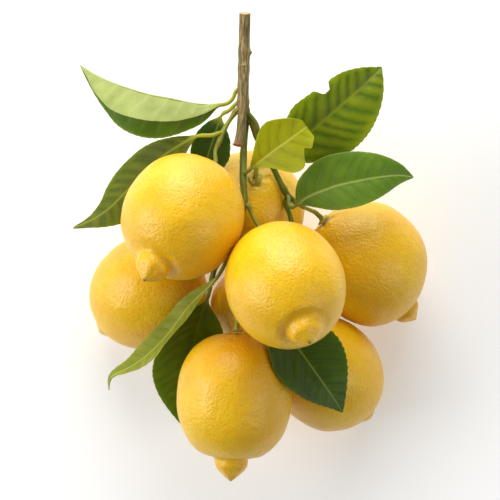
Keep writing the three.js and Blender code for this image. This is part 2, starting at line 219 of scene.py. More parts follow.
# %% [markdown]
# ## Noise for living surfaces
#
# Nothing grown is even. Two kinds of noise give most of what we need. Smooth noise gives
# each corner of a lattice a chance value and blends between them. Cell noise puts one
# chance point into each cube of a lattice and measures the distance to the nearest, which
# makes pores. Both depend only on place and on a seed, so each run gives the same fruit.

# %% Chance values on a lattice
def chance(cell, seed):
    """A value from 0 to 1 for each whole-number cell (..., 3), mixed from its bits."""
    c = cell.astype(np.uint64)
    h = c[..., 0] * np.uint64(73856093) ^ c[..., 1] * np.uint64(19349663)
    h ^= c[..., 2] * np.uint64(83492791) ^ np.uint64(seed * 7919 + 17)
    for shift, factor in ((15, 2246822519), (13, 3266489917)):
        h = (h ^ (h >> np.uint64(shift))) * np.uint64(factor) & np.uint64(0xFFFFFFFF)
    h ^= h >> np.uint64(16)
    return (h & np.uint64(0xFFFFFF)).astype(float) / 0xFFFFFF


def smooth_noise(place, size, seed=0):
    """Noise from -1 to 1 whose bumps are about size across."""
    spot = place / size + 512.0
    cell = np.floor(spot).astype(np.int64)
    part = spot - cell
    part = part * part * (3 - 2 * part)
    total = np.zeros(place.shape[:-1])
    for corner in np.ndindex(2, 2, 2):
        weight = np.prod(np.where(corner, part, 1 - part), axis=-1)
        total += weight * chance(cell + np.array(corner), seed)
    return 2 * total - 1


def cell_distance(place, size, seed=0):
    """Distance to the nearest chance point, in cells of the given size."""
    spot = place / size + 512.0
    cell = np.floor(spot).astype(np.int64)
    nearest = np.full(place.shape[:-1], 9.0)
    for step in np.ndindex(3, 3, 3):
        other = cell + np.array(step) - 1
        point = other + np.stack([chance(other, seed + i) for i in range(3)], axis=-1)
        nearest = np.minimum(nearest, np.sum((spot - point) ** 2, axis=-1))
    return np.sqrt(nearest)


def bump(x, centre, width):
    """A bell of height 1 at centre."""
    return np.exp(-(((x - centre) / width) ** 2))


def ramp(x, low, high):
    """0 below low, 1 above high, and an S-shaped slope between."""
    t = np.clip((x - low) / (high - low), 0, 1)
    return t * t * (3 - 2 * t)


sample = np.random.default_rng(1).random((1000, 3)) * 0.05
print("noise from", round(smooth_noise(sample, 0.01).min(), 2), "to",
      round(smooth_noise(sample, 0.01).max(), 2))


# %% [markdown]
# ## From a grid to a mesh
#
# A finished skin is a grid of points that closes on itself sideways, plus a point at each
# end. The faces of such a grid are always the same, so their corner numbers come from
# shifting one array of numbers. Extra values, such as how close a point is to a vein, are
# stored on the points, and the finishes read them by name.

# %% Build a closed skin
def build_skin(name, grid, first, last, **values):
    """A mesh object from grid (k, j, 3) and its two end points, with values per point."""
    rows, columns = grid.shape[:2]
    number = 1 + np.arange(rows * columns).reshape(rows, columns)
    beside = np.roll(number, -1, axis=1)
    end = np.full(columns, rows * columns + 1)
    quads = np.stack([number[:-1], beside[:-1], beside[1:], number[1:]], axis=-1)
    fans = np.concatenate([
        np.stack([np.zeros(columns, int), beside[0], number[0]], axis=-1),
        np.stack([number[-1], beside[-1], end], axis=-1)])
    corner = np.concatenate([quads.reshape(-1), fans.reshape(-1)]).astype(np.int32)
    total = np.repeat([4, 3], [quads.size // 4, len(fans)]).astype(np.int32)

    mesh = bpy.data.meshes.new(name)
    mesh.vertices.add(rows * columns + 2)
    place = np.concatenate([first[None], grid.reshape(-1, 3), last[None]])
    mesh.vertices.foreach_set("co", place.reshape(-1).astype(np.float32))
    mesh.loops.add(len(corner))
    mesh.loops.foreach_set("vertex_index", corner)
    mesh.polygons.add(len(total))
    mesh.polygons.foreach_set("loop_start", (np.cumsum(total) - total).astype(np.int32))
    mesh.polygons.foreach_set("loop_total", total)
    mesh.polygons.foreach_set("use_smooth", np.ones(len(total), bool))
    for label, value in values.items():
        value = np.broadcast_to(value, (rows, columns))
        ends = [[value[0].mean()], value.reshape(-1), [value[-1].mean()]]
        layer = mesh.attributes.new(label, "FLOAT", "POINT")
        layer.data.foreach_set("value", np.concatenate(ends).astype(np.float32))
    mesh.update(calc_edges=True)
    mesh.validate()
    piece = bpy.data.objects.new(name, mesh)
    bpy.context.scene.collection.objects.link(piece)
    return piece


def settle(piece, node, material):
    """The piece takes its solid's place, moves with the bunch and gets its finish."""
    piece.data.materials.append(material)
    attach(piece, "root")
    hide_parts(node)
    return piece


# %% [markdown]
# ## Finishes
#
# All finishes are Principled materials whose colour is mixed from a few layers. A small
# helper keeps the node trees readable: it adds a node, sets its values and links its
# inputs in one call.

# %% Helpers for node trees
def linear(red, green, blue):
    """A screen colour (0 to 255) as the linear colour that Blender works with."""
    c = np.array([red, green, blue]) / 255
    c = np.where(c <= 0.04045, c / 12.92, ((c + 0.055) / 1.055) ** 2.4)
    return (*c, 1.0)


class Tree:
    """A material's node tree, with one short method for each kind of layer."""

    def __init__(self, name):
        self.material = bpy.data.materials.new(name)
        self.material.use_nodes = True
        self.nodes = self.material.node_tree.nodes
        self.links = self.material.node_tree.links
        self.shader = self.nodes["Principled BSDF"]

    def add(self, kind, inputs=None, **settings):
        node = self.nodes.new(kind)
        for key, value in settings.items():
            setattr(node, key, value)
        for key, value in (inputs or {}).items():
            if isinstance(value, bpy.types.NodeSocket):
                self.links.new(value, node.inputs[key])
            else:
                node.inputs[key].default_value = value
        return node

    def place(self):
        """The spot on the piece, in metres."""
        return self.add("ShaderNodeTexCoord").outputs["Object"]

    def value(self, label):
        """A value stored on the mesh."""
        return self.add("ShaderNodeAttribute", attribute_name=label).outputs["Fac"]

    def noise(self, scale, detail=3.0, where=None, rough=0.5):
        inputs = {"Vector": where or self.place(), "Scale": scale, "Detail": detail,
                  "Roughness": rough}
        return self.add("ShaderNodeTexNoise", inputs).outputs["Fac"]

    def cells(self, scale, feature="F1", where=None):
        inputs = {"Vector": where or self.place(), "Scale": scale}
        return self.add("ShaderNodeTexVoronoi", inputs, feature=feature).outputs["Distance"]

    def between(self, value, low, high, to_low=0.0, to_high=1.0):
        """value carried from low..high to to_low..to_high, held at both ends."""
        inputs = {"Value": value, "From Min": low, "From Max": high, "To Min": to_low,
                  "To Max": to_high}
        return self.add("ShaderNodeMapRange", inputs).outputs[0]

    def times(self, a, b):
        return self.add("ShaderNodeMath", {0: a, 1: b}, operation="MULTIPLY").outputs[0]

    def plus(self, a, b):
        return self.add("ShaderNodeMath", {0: a, 1: b}, operation="ADD").outputs[0]

    def mix(self, share, one, two):
        node = self.add("ShaderNodeMix", data_type="RGBA")
        for socket, value in ((node.inputs[0], share), (node.inputs[6], one),
                              (node.inputs[7], two)):
            if isinstance(value, bpy.types.NodeSocket):
                self.links.new(value, socket)
            else:
                socket.default_value = value
        return node.outputs[2]

    def bump(self, height, distance, strength):
        node = self.add("ShaderNodeBump", {"Height": height, "Distance": distance,
                                           "Strength": strength})
        self.links.new(node.outputs[0], self.shader.inputs["Normal"])

    def finish(self, colour, roughness, **fixed):
        """Link the colour and the roughness, and set everything else as plain numbers."""
        self.links.new(colour, self.shader.inputs["Base Color"])
        self.links.new(roughness, self.shader.inputs["Roughness"])
        for key, value in fixed.items():
            self.shader.inputs[key].default_value = value
        return self.material


# %% [markdown]
# ## Lemon peel
#
# Peel is waxy and lets a little light in, so it glows warmly where it turns away from the
# lamp. Its colour drifts from lemon yellow to a deeper gold. Each oil gland is a tiny darker
# dot with a dimple, which only tilts the light. The larger pits and mounds are real
# geometry, made with the fruit below.

# %% The peel finish
def peel_finish():
    """Yellow that drifts to gold, with a darker dot and a dimple for each oil gland."""
    t = Tree("lemon_peel")
    drift = t.noise(24, 2)
    colour = t.mix(t.between(drift, 0.35, 0.68), linear(246, 198, 12), linear(238, 181, 3))
    fine = t.noise(170, 3)
    colour = t.mix(t.between(fine, 0.45, 0.75, 0, 0.4), colour, linear(248, 210, 40))
    colour = t.mix(t.times(t.value("gold"), 0.6), colour, linear(228, 152, 2))
    gland = t.cells(640)
    colour = t.mix(t.between(gland, 0.0, 0.45, 0.36, 0), colour, linear(214, 146, 2))
    colour = t.mix(t.times(t.value("green"), 0.5), colour, linear(188, 176, 30))
    colour = t.mix(t.value("scar"), colour, linear(84, 56, 18))
    rough = t.between(t.noise(300, 2), 0.3, 0.7, 0.34, 0.44)
    dimple = t.between(gland, 0.0, 0.6)
    grain = t.between(t.noise(1100, 2), 0, 1, 0, 0.35)
    t.bump(t.plus(dimple, grain), 0.00024, 0.75)
    return t.finish(colour, rough, **{
        "Subsurface Weight": 0.12, "Subsurface Scale": 0.003,
        "Subsurface Radius": (1.0, 0.6, 0.15), "Specular IOR Level": 0.5,
        "Coat Weight": 0.12, "Coat Roughness": 0.36})


PEEL = peel_finish()
print("peel nodes:", len(PEEL.node_tree.nodes))


# %% [markdown]
# ## A lemon's body
#
# The solid gives the body, the blunt nipple and the furrow at its foot. The spline passes
# through each pole and down the other side, so the fruit has no point at its ends. Then
# we press the skin in and out along its normals: broad dents, small mounds, scattered
# pits, soft ribs that run up the nipple, and folds that gather at the stalk.

# %% Fine rings for a fruit
PEEL_ROWS, PEEL_COLUMNS = 210, 400


def fruit_grid(name, rows, columns):
    """Fine grid of a fruit and each row's share of the way from stalk to nipple."""
    rings, stalk_pole, nipple_pole = RINGS[name]
    sides = 48
    half = sides // 2
    rings = round_off(rings, sides)
    stack = np.concatenate([
        np.roll(rings[1::-1], half, axis=1), np.tile(stalk_pole, (1, sides, 1)), rings,
        np.tile(nipple_pole, (1, sides, 1)), np.roll(rings[:-3:-1], half, axis=1)])
    reach = path_length(stack[:, 0])
    reach = reach - reach[2]
    length = reach[-3]
    share = (1 - np.cos(np.pi * (np.arange(rows) + 0.5) / rows)) / 2
    share = 0.25 * share + 0.75 * (np.arange(rows) + 0.5) / rows
    grid = spline(stack, reach, share * length)
    return round_off(grid, columns), share, length


def nipple_foot(grid, from_tip):
    """Way from the tip to the foot, where the flank bends most sharply into the body."""
    arm = grid - grid.mean(1, keepdims=True)
    radius = np.linalg.norm(arm, axis=2).mean(1) / MM
    way = from_tip[:, 0]
    bend = np.gradient(np.gradient(radius, way), way)
    return way[np.argmax(np.where((way > 0.15 * way[0]) | (way < 3), -9, bend))]


def peel_relief(grid, share, length, seed, size, fold_side, stretch):
    """How far each point of the peel moves out, in metres.

    broad dents + mounds - pits + ribs on the nipple - furrow at its foot + stalk folds

    The furrow is deepest on the side where fold_side points. A stretch above 1 puts the
    foot further from the tip than the solid's own flank does.
    """
    angle = np.linspace(0, 2 * np.pi, grid.shape[1], endpoint=False)[None]
    from_stalk = (share * length)[:, None] / MM
    from_tip = ((1 - share) * length)[:, None] / MM
    foot = nipple_foot(grid, from_tip) * stretch
    patch = 0.6 + 0.4 * smooth_noise(grid, 15 * MM, seed + 3)
    patch = patch * (1 - 0.7 * bump(from_tip, 0.4 * foot, 0.6 * foot))
    depth = 0.32 * smooth_noise(grid, 12 * MM, seed)
    depth = depth + 0.17 * patch * smooth_noise(grid, 4.2 * MM, seed + 1)
    depth = depth + 0.08 * patch * smooth_noise(grid, 2.1 * MM, seed + 2)
    pit = np.exp(-((cell_distance(grid, 1.9 * MM, seed + 4) / 0.34) ** 2))
    depth = depth - 0.08 * pit

    wobble = smooth_noise(grid, 7 * MM, seed + 9)
    ribs = np.cos(5 * angle + 1.2 * wobble + seed)
    depth = depth + 0.2 * ribs * bump(from_tip, 0.52 * foot, 0.32 * foot)
    depth = depth + 0.6 * size * bump(from_tip, 0.66 * foot, 0.22 * foot)
    arm = grid - grid.mean(1, keepdims=True)
    toward = arm @ np.array(fold_side) / np.maximum(np.linalg.norm(arm, axis=2), 1e-9)
    lip = ramp(toward, -0.1, 0.7)
    edge = foot + 0.4 * wobble
    depth = depth - (0.3 + 1.1 * lip) * size * bump(from_tip, edge, 2.5 * size)
    depth = depth + 0.4 * size * lip * bump(from_tip, edge + 4.5 * size, 3 * size)

    fold = np.cos(6 * angle + 1.6 * wobble) * bump(from_stalk, 6.5 * size, 3.2 * size)
    return (depth + 0.3 * fold - 0.5 * bump(from_stalk, 0, 4.2 * size)) * MM


# %% Make the fruits
# Each entry is the side of the deepest furrow and the stretch of the nipple's foot.
FOLD_SIDES = {"upper_left": ((0.85, -0.3, 0.4), 1.0), "centre_front": ((-0.8, 0.5, 0.3), 1.25)}
USUAL_FOLD = ((0.5, 0.2, 0.8), 1.0)


def make_fruit(fruit, seed):
    name = f"lemon_{fruit}"
    small = fruit == "small_back"
    rows, columns = (150, 288) if small else (PEEL_ROWS, PEEL_COLUMNS)
    size = 0.7 if small else 1.0
    grid, share, length = fruit_grid(name, rows, columns)
    side, stretch = FOLD_SIDES.get(fruit, USUAL_FOLD)
    relief = peel_relief(grid, share, length, seed, size, side, stretch)
    grid = grid + outward(grid) * relief[..., None]
    to_tip = ((1 - share) * length)[:, None] / MM
    to_stalk = (share * length)[:, None] / MM
    drift = smooth_noise(grid, 30 * MM, seed + 5)
    gold = np.clip(0.12 + 0.4 * drift + 0.3 * bump(to_stalk, 0, 14), 0, 1)
    green = np.clip(bump(to_stalk, 3, 4) + 0.4 * bump(to_tip, 2, 4), 0, 1)
    scar = bump(to_tip, 0, 1.15 * size)
    piece = build_skin(f"{name}_peel", grid, grid[0].mean(0), grid[-1].mean(0),
                       gold=gold, green=green, scar=scar)
    return settle(piece, name, PEEL)


for seed, fruit in enumerate(FRUITS):
    piece = make_fruit(fruit, 11 * seed + 3)
    print(piece.name, "has", len(piece.data.polygons), "faces")


# %% [markdown]
# ## Bark and green wood
#
# The branch is last year's wood: tan bark, streaked along its length with grey and olive.
# The shoots are this year's and still green. Streaks have to run along the wood however
# it bends, so the finishes read two values stored on the mesh, the way along and the way
# round, in place of the room's own directions.

# %% Streaks along the wood
def along_the_wood(t, stretch):
    """The pattern's place from the way round the wood (as a circle) and the way along."""
    parts = {"X": t.value("round_x"), "Y": t.value("round_y"),
             "Z": t.times(t.value("along"), stretch)}
    return t.add("ShaderNodeCombineXYZ", parts).outputs[0]


def bark_finish():
    t = Tree("old_bark")
    streak = t.noise(4.6, 5, along_the_wood(t, 30), 0.62)
    colour = t.mix(t.between(streak, 0.36, 0.62), linear(82, 64, 34), linear(172, 150, 100))
    patch = t.noise(1.3, 3, along_the_wood(t, 24))
    colour = t.mix(t.between(patch, 0.46, 0.62, 0, 0.7), colour, linear(92, 98, 50))
    fleck = t.cells(5.5, where=along_the_wood(t, 60))
    colour = t.mix(t.between(fleck, 0.02, 0.16, 0.55, 0), colour, linear(196, 180, 146))
    crack = t.noise(7.5, 4, along_the_wood(t, 22))
    colour = t.mix(t.between(crack, 0.52, 0.64, 0, 0.7), colour, linear(52, 38, 24))
    wood = t.mix(t.between(t.value("ring"), 0.3, 0.7), linear(206, 186, 140), linear(170, 132, 88))
    colour = t.mix(t.value("cut"), colour, wood)
    colour = t.mix(t.value("rust"), colour, linear(138, 92, 62))
    t.bump(t.noise(5, 5, along_the_wood(t, 22)), 0.0003, 0.7)
    return t.finish(colour, t.between(streak, 0.3, 0.7, 0.72, 0.9), **{"Specular IOR Level": 0.3})


def green_wood_finish(name, light, dark):
    t = Tree(name)
    streak = t.noise(1.9, 4, along_the_wood(t, 40))
    colour = t.mix(t.between(streak, 0.35, 0.65), dark, light)
    fleck = t.cells(3.2, where=along_the_wood(t, 420))
    colour = t.mix(t.between(fleck, 0.05, 0.2, 0.5, 0), colour, linear(180, 170, 96))
    # Brown: real at the twigs' roots and knuckles; painted crevice shade under each calyx rim.
    colour = t.mix(t.value("rust"), colour, linear(128, 104, 52))
    t.bump(t.noise(4, 3, along_the_wood(t, 90)), 0.0001, 0.6)
    return t.finish(colour, t.between(streak, 0.3, 0.7, 0.42, 0.58), **{"Specular IOR Level": 0.3})


BARK = bark_finish()
SHOOT_GREEN = green_wood_finish("shoot_green", linear(120, 126, 34), linear(70, 86, 20))
STALK_GREEN = green_wood_finish("stalk_green", linear(160, 162, 56), linear(112, 122, 34))
CALYX_GREEN = green_wood_finish("calyx_green", linear(196, 182, 70), linear(144, 138, 44))


# %% [markdown]
# ## Twigs
#
# A twig is a ring carried along a path. The path and its thickness come from the solid's
# rings. The solids stop a hair before the wood that they grow from, so each twig gets a
# root: one more ring, inside its parent and a little way back along it. The curve through
# it leaves the parent at a slant and swells into a collar, as real wood does.

# %% A root inside the parent
TWIG_COLUMNS = 36
ROOT_SHARE = 0.7


def root_of(name, first_centre, back):
    """A point on the parent's middle line, back before the nearest one to the twig."""
    rings, _, _ = RINGS[GROWS_FROM[name]]
    centres = rings.mean(1)
    reach = path_length(centres)
    way = np.linspace(0, reach[-1], 200)
    line = spline(centres, reach, way)
    nearest = way[np.argmin(np.linalg.norm(line - first_centre, axis=1))]
    return line[np.argmin(np.abs(way - max(nearest - back, 0)))]


def with_root(name, rings, back):
    """The rings with one more in front of them, a smaller copy of the first."""
    first = rings[0].mean(0)
    root = root_of(name, first, back)
    return np.concatenate([(root + (rings[0] - first) * ROOT_SHARE)[None], rings])


# %% A fine tube along a twig
def twig_grid(name, spacing, head=0.0, back=2.2 * MM, collar=0.3, skip=0):
    """Fine tube from the root through all rings but the first few, if skip says so."""
    rings = with_root(name, round_off(RINGS[name][0][skip:], TWIG_COLUMNS), back)
    centres = rings.mean(1)
    reach = path_length(centres)
    way = np.linspace(0, reach[-1] + head, int(reach[-1] / spacing) + 2)
    inside = np.minimum(way, reach[-1])
    tube, middle = spline(rings, reach, inside), spline(centres, reach, inside)
    last_step = (centres[-1] - centres[-2]) / (reach[-1] - reach[-2])
    shift = np.outer(way - inside, last_step)
    swell = 1 + collar * bump(way, reach[1] * 0.8, back)
    tube = middle[:, None] + (tube - middle[:, None]) * swell[:, None, None]
    return tube + shift[:, None], middle + shift, way - reach[1]


def wood_values(grid, way, **more):
    """The values that the wood finishes read: the way round as a circle, the way along."""
    angle = np.linspace(0, 2 * np.pi, grid.shape[1], endpoint=False)[None]
    values = {"round_x": np.cos(angle), "round_y": np.sin(angle), "along": way[:, None]}
    return values | {"rust": 0 * way[:, None]} | more


def make_twig(name, material, seed, rough=0.06, **shape):
    """A green twig: gently ribbed, with a few low bumps where leaves once stood."""
    grid, middle, way = twig_grid(name, 0.45 * MM, **shape)
    angle = np.linspace(0, 2 * np.pi, TWIG_COLUMNS, endpoint=False)[None]
    wobble = smooth_noise(grid, 2.4 * MM, seed)
    rib = np.cos(5 * angle + 1.5 * smooth_noise(middle, 12 * MM, seed + 1)[:, None])
    knuckle = ramp(smooth_noise(middle, 7 * MM, seed + 2), 0.45, 0.8)[:, None]
    move = rough * wobble + 0.05 * rib + 0.22 * knuckle
    grid = grid + outward(grid) * (move * MM)[..., None]
    brown = 0.6 * bump(way, 0, 1.6 * MM)[:, None] + 0.35 * knuckle
    piece = build_skin(f"{name}_wood", grid, grid[0].mean(0), grid[-1].mean(0),
                       **wood_values(grid, way, rust=brown))
    return settle(piece, name, material)


make_twig("shoot_main", SHOOT_GREEN, 41, back=7 * MM, collar=0.25)
make_twig("shoot_right", SHOOT_GREEN, 42, back=9 * MM, collar=0.55, skip=3)
make_twig("shoot_left", STALK_GREEN, 43, back=4 * MM, collar=0.45)
make_twig("shoot_lower", SHOOT_GREEN, 44)
for seed, name in enumerate(n for n in NODES if n.startswith("stalk_")):
    make_twig(name, STALK_GREEN, seed + 60, head=0.6 * MM)
print("twigs made")


# %% [markdown]
# ## The woody branch
#
# The old branch is thicker and rougher. Its bark has long shallow ridges, a few rings
# where a year's growth stopped, and a small bud on its right side. Its upper end is cut
# clean and shows pale wood; its lower end broke off years ago and has healed red-brown.

# %% Bark, buds and the two ends
def make_branch():
    name = "branch"
    columns = 72
    rings, _, _ = RINGS[name]
    rings = round_off(rings, columns)
    centres = rings.mean(1)
    reach = path_length(centres)
    rows = 330
    way = np.linspace(0, reach[-1], rows)
    tube = spline(rings, reach, way)
    middle = spline(centres, reach, way)
    arm = tube - middle[:, None]
    arm = arm / np.linalg.norm(arm, axis=2, keepdims=True)
    share = (way / reach[-1])[:, None]
    streak_place = arm * 3 * MM + middle[:, None] * 0.09
    ridge = smooth_noise(streak_place, 0.9 * MM, 5) + 0.6 * smooth_noise(streak_place, 0.45 * MM, 6)
    knot = smooth_noise(tube, 5 * MM, 7)
    # A bud on the right, a nub and a strand on the front, and a collar where shoots leave.
    bud = bump(share, 0.29, 0.016) * ramp(arm[..., 0], 0.6, 0.98)
    front = arm @ np.array([-0.1, 0, 0.99])
    nub = bump(share, 0.395, 0.012) * ramp(front, 0.84, 0.98)
    strand = ramp(share, 0.4, 0.42) * ramp(1 - share, 0.1, 0.3) * ramp(front, 0.72, 0.88)
    collar = bump(share, 0.66, 0.03) * ramp(np.abs(arm[..., 0]), 0.3, 0.95)
    torn = ramp(share, 0.96, 1) * (0.3 + 0.7 * smooth_noise(tube, 1.3 * MM, 8))
    move = 0.15 * ridge + 0.1 * knot + 0.95 * bud + 1.1 * nub + 0.5 * strand
    move = move + 0.4 * collar + 0.5 * torn
    tube = tube + arm * (move * MM)[..., None]
    tube[0] += (middle[0] - tube[0]) * 0.06

    # Each end is closed by a few smaller rings, so that the cut face has its own colour.
    fill = np.linspace(0.95, 0.08, 10)
    top_face = middle[0] + (tube[0] - middle[0]) * fill[::-1, None, None]
    low_face = middle[-1] + (tube[-1] - middle[-1]) * fill[:, None, None]
    sag = (middle[-1] - middle[-2]) / np.linalg.norm(middle[-1] - middle[-2])
    low_face = low_face - sag * (0.9 * MM * (1 - fill[:, None, None] ** 2))
    grid = np.concatenate([top_face, tube, low_face])
    caps = np.zeros(10)
    along = np.concatenate([caps, way, caps + way[-1]])
    cut = np.concatenate([caps + 1, 0 * way, caps + 1])[:, None]
    ring = 0.5 + 0.5 * np.cos(np.concatenate([fill[::-1], 0 * way, fill]) * 22)[:, None]
    rust = np.concatenate([caps, ramp(way, way[-1] - 4 * MM, way[-1]), caps + 0.9])[:, None]
    piece = build_skin("branch_bark", grid, grid[0].mean(0), grid[-1].mean(0),
                       **wood_values(grid, along, rust=rust * 0.85, cut=cut, ring=ring))
    return settle(piece, name, BARK)


print("branch faces:", len(make_branch().data.polygons))


# %% [markdown]
# ## The calyx
#
# Where the stalk meets the fruit it widens into a small five-lobed collar. The shape is a
# profile turned round the stalk: out from the stalk in a trumpet, over a rounded rim and
# back underneath. The rim swings in and out five times on its way round.

# %% A five-lobed collar
def make_calyx(fruit, seed):
    """radius = profile x (1 + lobes), height = profile + droop on the lobe tips."""
    name = f"calyx_{fruit}"
    rings, top, under = RINGS[name]
    lobes = rings[-2] - rings[-2].mean(0)
    axis = (top - under) / np.linalg.norm(top - under)
    reach = np.linalg.norm(lobes, axis=1)
    side = lobes[int(np.argmax(reach))]
    side = side - axis * (side @ axis)
    side = side / np.linalg.norm(side)
    other = np.cross(axis, side)
    size, tall = reach.max(), np.linalg.norm(top - under)
    knots = np.arange(9.0)
    profile = np.array([[0.40, 1.12], [0.41, 0.86], [0.46, 0.62], [0.62, 0.44], [0.86, 0.34],
                        [1.0, 0.2], [0.94, 0.06], [0.6, 0.02], [0.2, 0.02]])
    fine = spline(profile, knots, np.linspace(0, 8, 46))
    angle = -np.linspace(0, 2 * np.pi, 80, endpoint=False)[None]
    wide, high = fine[:, 0][:, None], fine[:, 1][:, None]
    edge = ramp(wide, 0.45, 0.95)
    lobe = np.cos(5 * angle)
    radius = wide * size * (1 + edge * (0.10 * lobe - 0.08 + 0.03 * np.cos(2 * angle + seed)))
    lift = tall * high * (1 + 0.18 * edge * np.cos(3 * angle + seed))
    grid = (under + radius[..., None] * (np.cos(angle)[..., None] * side
            + np.sin(angle)[..., None] * other) + lift[..., None] * axis)
    grid = grid + axis * (0.05 * MM * smooth_noise(grid, 0.9 * MM, seed))[..., None]
    # Painted shade: brown under the rim, next to the peel, where the crevice between calyx and fruit
    # lies in shadow.
    rust = edge * np.clip(1 - high * 2.2, 0, 1) * 0.9
    piece = build_skin(f"{name}_lobes", grid, grid[0].mean(0), grid[-1].mean(0),
                       **wood_values(grid, np.linspace(0, tall, 46), rust=rust))
    return settle(piece, name, CALYX_GREEN)


for seed, fruit in enumerate(FRUITS):
    make_calyx(fruit, seed + 80)
print(len(FRUITS), "calyces made")


# %% [markdown]
# ## Leaves
#
# A citrus leaf is a stiff, slightly leathery blade. A midrib runs down it and stands out
# underneath; side veins leave the midrib in turn left and right and bend forward before
# they reach the edge; between them the blade puffs up a little. The edge is finely
# scalloped and never lies quite flat. The solid gives the outline, the fold and the bend,
# and its short stem, the petiole, is part of the same skin.

# %% Read a leaf's two faces
def leaf_faces(name, looks):
    """The upper and the lower face of a leaf's rings, each (k, i, 3) from edge to edge.

    Points at equal steps either way from an edge lie close together, one on each face,
    so an edge is the point with the smallest sum of such gaps. The upper face is the one
    whose normal, across x onward, agrees with the direction in which the leaf looks.
    """
    rings, _, _ = RINGS[name]
    sides = rings.shape[1]
    half = sides // 2
    step = np.arange(1, half)
    ring = rings[len(rings) // 2]
    gaps = [np.linalg.norm(ring[(j + step) % sides] - ring[j - step], axis=1).sum()
            for j in range(half)]
    rings = np.roll(rings, -int(np.argmin(gaps)), axis=1)
    across = rings[:, half // 2 + 1] - rings[:, half // 2 - 1]
    onward = np.gradient(rings[:, half // 2], axis=0)
    if np.cross(across, onward).mean(0) @ np.array(looks) < 0:
        rings = np.roll(rings, half, axis=1)
    upper = rings[:, :half + 1]
    lower = np.concatenate([rings[:, :1], rings[:, :half - 1:-1]], axis=1)
    return upper, lower


def slide(face, s):
    """Points of a face at s, from -1 to 1 across each row, read between its columns."""
    spot = (np.clip(s, -1, 1) + 1) / 2 * (face.shape[1] - 1)
    i = np.clip(spot.astype(int), 0, face.shape[1] - 2)
    part = (spot - i)[..., None]
    row = np.arange(len(face))[:, None]
    return face[row, i] * (1 - part) + face[row, i + 1] * part


# %% [markdown]
# ### Veins
#
# A side vein that leaves the midrib at a place d along it is found at
# d + 0.55 w + 0.02 w x w when it is w millimetres out. Turned round, this tells for any
# spot of the blade where its vein would have left the midrib, and the spots for which
# that is a whole number of spacings lie on veins.

# %% The veins of a blade
def vein_pattern(along, across, width, spacing, seed):
    """Closeness (0 to 1) to a side vein, the same but wider, and the puff between veins."""
    out = np.abs(across) * width
    right = across > 0
    turn = along - 0.55 * out - 0.02 * out ** 2 + 0.5 * spacing * right
    turn = turn + 0.18 * spacing * np.sin(turn / spacing * 1.3 + seed + 2 * right)
    near = (turn / spacing + 0.5) % 1 - 0.5
    fade = ramp(1 - np.abs(across), 0.02, 0.3) * ramp(out, 0.2, 1.2)
    line = np.exp(-((near * spacing / 0.42) ** 2)) * fade
    soft = np.exp(-((near * spacing / 2.1) ** 2)) * fade
    puff = -np.cos(2 * np.pi * near) * ramp(out, 0.5, 3)
    return line, soft, puff


# %% [markdown]
# ### Leaf finishes
#
# All nine leaves share one recipe, but no two have the same colours: a young leaf is
# yellow-green and an old one is nearly black-green, and the side that the sun does not
# reach is paler and duller. So the recipe takes its colours from a short table.

# %% Leaf finish
def leaf_finish(name, upper, under, vein, rib, shade, gloss=0.42, streak=0.5, line=0.14,
                pale=True, stalk=linear(128, 142, 62)):
    """upper, under: the two faces; vein: bands along the side veins; rib: the midrib;
    shade: the darker patches between; line: how plain the side veins are, pale or dark."""
    t = Tree(name)
    blotch = t.noise(90, 3)
    face = t.mix(t.between(blotch, 0.35, 0.7, 0, 0.8), upper, shade)
    ragged = t.between(t.noise(420, 3), 0.3, 0.6, 0.7, 1.0)
    face = t.mix(t.times(t.times(t.value("soft"), ragged), streak), face, vein)
    back = t.mix(t.between(blotch, 0.3, 0.7, 0, 0.35), under, shade)
    back = t.mix(t.times(t.value("soft"), 0.25), back, rib)
    colour = t.mix(t.value("under"), face, back)
    net = t.cells(900, "DISTANCE_TO_EDGE")
    colour = t.mix(t.between(net, 0.0, 0.12, 0.2, 0), colour, vein)
    colour = t.mix(t.times(t.value("vein"), line), colour, rib if pale else vein)
    colour = t.mix(t.times(t.value("rib"), 0.9), colour, rib)
    # Pale rim round the edge: partly the leaf's own pale margin, partly a painted highlight.
    colour = t.mix(t.times(t.value("edge"), 0.35), colour, rib)
    colour = t.mix(t.value("stem"), colour, stalk)
    rough = t.between(t.value("under"), 0, 1, gloss, 0.62)
    t.bump(t.noise(1100, 2), 0.00008, 0.5)
    return t.finish(colour, rough, **{"Specular IOR Level": 0.24, "Subsurface Weight": 0.08,
                    "Subsurface Scale": 0.002, "Subsurface Radius": (0.5, 1.0, 0.2)})


